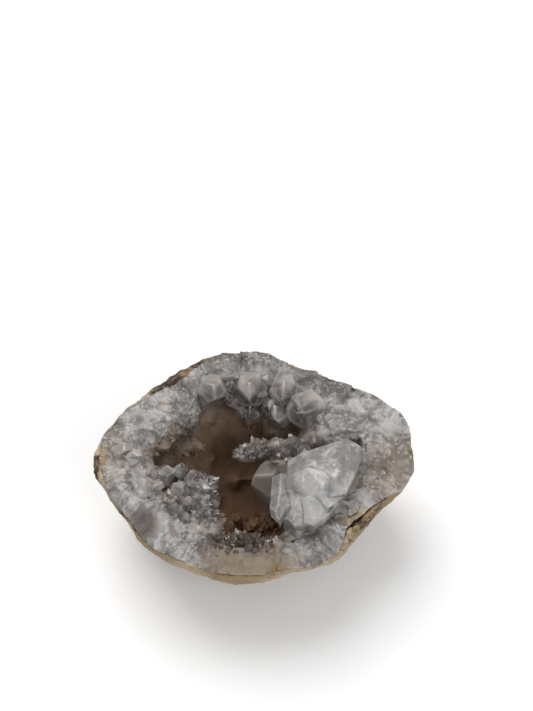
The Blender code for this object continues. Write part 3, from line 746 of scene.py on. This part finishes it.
def cleaved_mass(bm, outline, planes, chance):
    """A mass that stands on its outline, cleaved above along planes, with chipped, worn edges."""
    small = bmesh.new()
    foot = [small.verts.new((*corner, BLOCK_FOOT)) for corner in reversed(outline)]
    top = bmesh.ops.extrude_discrete_faces(small, faces=[small.faces.new(foot)])["faces"][0]
    bmesh.ops.translate(small, verts=top.verts, vec=(0, 0, 2 * BLOCK_FOOT))
    small.faces.new(reversed(foot))
    for place, normal in planes:
        cut_flat(small, Vector(place), Vector(normal))
    for _ in range(BLOCK_CLEAVES):
        out = (any_direction(chance) + Vector((0, 0, 0.6))).normalized()
        far = max((vertex.co for vertex in small.verts), key=out.dot)
        cut_flat(small, far - out * chance.uniform(*CLEAVE_DEPTH), out)
    bmesh.ops.remove_doubles(small, verts=small.verts, dist=0.05)
    wear_edges(small, BLOCK_WEAR)
    bmesh.ops.triangulate(small, faces=small.faces)
    bmesh.ops.transform(small, matrix=Matrix.Scale(MM, 4), verts=small.verts)
    join_into(bm, small)


def block_finish():
    material, tree, shader = start_finish("milky_block", 0.25)
    place = place_of(tree)
    cloud = speckle(tree, place, 6.0, detail=3.0, distortion=0.8)
    wisps = speckle(tree, place, 2.0, detail=3.0, roughness=0.55, distortion=1.2)
    milk = sums(tree, "ADD", sums(tree, "MULTIPLY", cloud, 0.75), sums(tree, "MULTIPLY", wisps, 0.25))
    whitest = near(tree, place, *BLOCK_WHITEST, 0.8)
    milk = sums(tree, "ADD", milk, sums(tree, "MULTIPLY", whitest, 0.16))
    whiteness = ramp(tree, milk, 0.42, 0.68)
    milky = mixed(tree, whiteness, (0.275, 0.256, 0.24), (0.415, 0.397, 0.38))
    milky = mixed(tree, ramp(tree, wisps, 0.54, 0.68, 0.0, 0.4), milky, (0.56, 0.55, 0.54))
    worn_and_highlighted = node(tree, "ShaderNodeAttribute", attribute_name="worn_and_highlighted").outputs["Fac"]
    # Painted highlight: the edges are lightened a little, partly as frosted wear and partly as light
    # catching them.
    surface_colour = mixed(tree, sums(tree, "MULTIPLY", worn_and_highlighted, 0.06), milky, (0.72, 0.71, 0.70))
    tree.links.new(surface_colour, shader.inputs["Base Color"])
    tree.links.new(ramp(tree, whiteness, 0.0, 1.0, 0.3, 0.1), shader.inputs["Transmission Weight"])
    shader.inputs["IOR"].default_value = QUARTZ_IOR
    subsurface(shader, 0.6, (1.0, 0.95, 0.9), 4.0)
    relief = sums(tree, "ADD", facets(tree, place, 2.2), facets(tree, place, 5.0))
    relief = sums(tree, "ADD", relief, sums(tree, "MULTIPLY", facets(tree, place, 1.1), 0.9))
    bumped(tree, shader, relief, 0.2)
    return material


chance = random.Random(11)
bm = bmesh.new()
for outline, planes in BLOCK_MASSES:
    cleaved_mass(bm, outline, planes, chance)
add_points(bm, BLOCK_POINTS, 50)
make_piece("milky_block", bm, block_finish(), "crystal_crust", 40)

twin_quartz = clear_finish("twin_quartz", glow=0.05, clearest=0.55, roughness=0.38,
                           absorption=(0.67, 0.57, 0.47), density=44.0)
bm = bmesh.new()
add_points(bm, TWIN_POINTS, 70)
make_piece("twin_points", bm, twin_quartz, "crystal_crust", 45)


# The small sparkling crystals
# Points of a few millimetres that cover the mound on the left, the arm, the left and front edges and
# the inside of the hollow, each standing off the bed at its own slant. Larger ones crown the mound.

# Each dome is its middle, its reach, how many crystals are tried, their radius and where it faces.
MOUND = ((-17.0, -10.5, 34.0), (12.0, 13.0, 9.0), 750, (0.6, 1.9), (0.5, 0.3, 0.8))
ARM = ((2.0, 7.0, 31.5), (11.0, 5.0, 5.0), 260, (0.4, 1.2), (-0.2, -0.3, 0.9))
LEFT_EDGE = ((-19.0, 12.0, 33.0), (7.0, 7.0, 8.0), 220, (0.4, 1.3), (0.4, -0.5, 0.75))
SILL = ((-0.5, -24.0, 30.5), (14.0, 5.3, 8.0), 620, (0.4, 1.4), (0.0, 0.6, 0.75))
FLOOR_FRONT = ((1.5, -9.0, 4.0), (10.0, 6.0, 16.0), 110, (0.9, 2.6), (0.0, 0.2, 0.95))
SMALL_TAPER = 0.85  # a point's radius at its shoulder, for a radius of 1, as are the next four
SMALL_TIP = 1.15  # how far its tip stands over the shoulder
SMALL_LEAN = 0.35  # how far the tip may lie off the axis
DOME_POINT_LENGTHS = (0.7, 1.6)
WALL_POINT_LENGTHS = (1.0, 2.0)
WALL_POINTS = 420  # how many crystals are tried on the hollow's walls
WALL_POINT_RADII = (0.4, 1.3)
WALL_POINT_LOWEST = 21  # the height under which the walls are left bare
MOUND_LARGE = (
    ((-15.9, 15.8, 38.5), (0.5, -0.5, 0.75), 2.1, 9),
    ((-27.0, -5.4, 40.6), (0.2, -0.2, 0.9), 2.4, 8), ((-23.6, -7.0, 41.2), (0.25, -0.5, 0.8), 3.3, 9),
    ((-20.2, -3.8, 40.5), (0.2, -0.3, 0.9), 2.3, 8), ((-20.0, -10.5, 41.0), (0.3, -0.4, 0.85), 2.5, 8),
    ((-16.2, -5.2, 40.2), (0.3, -0.2, 0.9), 2.2, 8), ((-14.0, -9.0, 40.0), (0.45, -0.4, 0.8), 2.4, 8),
    ((-12.5, -14.5, 38.6), (0.5, -0.4, 0.75), 2.3, 8),
    ((-17.5, -15.0, 40.2), (0.2, -0.5, 0.85), 2.4, 8),
)


def small_point(bm, foot, axis, radius, length, chance):
    """A six-sided crystal with a plain point, its foot sunk in the bed."""
    small = bmesh.new()
    bmesh.ops.create_cone(small, cap_ends=True, segments=6, radius1=radius,
                          radius2=radius * SMALL_TAPER, depth=length)
    bmesh.ops.translate(small, verts=small.verts, vec=(0, 0, length / 2))
    top = max(small.faces, key=lambda face: face.calc_center_median().z)
    peak = bmesh.ops.poke(small, faces=[top])["verts"][0]
    lean_x, lean_y = (chance.uniform(-SMALL_LEAN, SMALL_LEAN) for _ in range(2))
    peak.co = (lean_x * radius, lean_y * radius, length + SMALL_TIP * radius)
    mark_clearness(small, peak.co.copy(), length + radius)
    stand_at(small, foot, axis, chance.uniform(0, math.pi))
    join_into(bm, small)


def some_radius(chance, least, most):
    """A radius in the range, more often small than large."""
    return least + (most - least) * chance.random() ** 2


def cover_dome(bm, zone, chance):
    """Crystals on the bed under a dome, where rays that come in through its facing side end."""
    middle, reach, count, radii, facing = zone
    for _ in range(count):
        out = (any_direction(chance) + 0.9 * Vector(facing).normalized()).normalized()
        start = Vector(middle) + out * Vector(reach)
        spot, normal, _face, _far = bed_surface.ray_cast(start * MM, -out, max(reach) * MM)
        if spot is None:
            continue
        axis = (normal + 0.7 * out + 0.6 * any_direction(chance)).normalized()
        radius = some_radius(chance, *radii)
        length = radius * chance.uniform(*DOME_POINT_LENGTHS)
        small_point(bm, spot / MM - axis * 0.8 * radius, axis, radius, length, chance)


def in_large_point(place):
    """Whether a place in millimetres lies in or close beside one of the large points."""
    return any((place - Vector(tip) + 0.5 * length * Vector(axis)).length < 0.75 * length + 1.0
               for tip, axis, _radius, length in BACK_POINTS + TWIN_POINTS)


bm = bmesh.new()
chance = random.Random(3)
cover_dome(bm, MOUND, chance)
make_piece("mound_points", bm, small_clear, "crystal_crust", 0)
bm = bmesh.new()
add_points(bm, MOUND_LARGE, 90)
make_piece("mound_large_points", bm, small_clear, "crystal_crust", 45)
bm = bmesh.new()
cover_dome(bm, ARM, chance)
cover_dome(bm, LEFT_EDGE, chance)
make_piece("edge_points", bm, small_clear, "crystal_crust", 0)
smoky_quartz = clear_finish("smoky_clear_quartz", glow=0.03, clearest=0.65, roughness=0.16,
                            absorption=(0.62, 0.52, 0.43), density=50.0)
bm = bmesh.new()
cover_dome(bm, SILL, chance)
make_piece("sill_points", bm, smoky_quartz, "crystal_crust", 0)

bm = bmesh.new()
cover_dome(bm, FLOOR_FRONT, chance)
for _ in range(WALL_POINTS):
    out = any_direction(chance)
    out.z = min(out.z, 0.15)
    spot, normal, _face, _far = bed_surface.ray_cast(HOLLOW_MIDDLE * MM, out.normalized())
    if spot is None or spot.z < WALL_POINT_LOWEST * MM or in_large_point(spot / MM):
        continue
    axis = (normal - 0.5 * out + 0.5 * any_direction(chance)).normalized()
    radius = some_radius(chance, *WALL_POINT_RADII)
    length = radius * chance.uniform(*WALL_POINT_LENGTHS)
    small_point(bm, spot / MM - axis * 0.9 * radius, axis, radius, length, chance)
make_piece("hollow_points", bm, bed_quartz, "crystal_crust", 0)
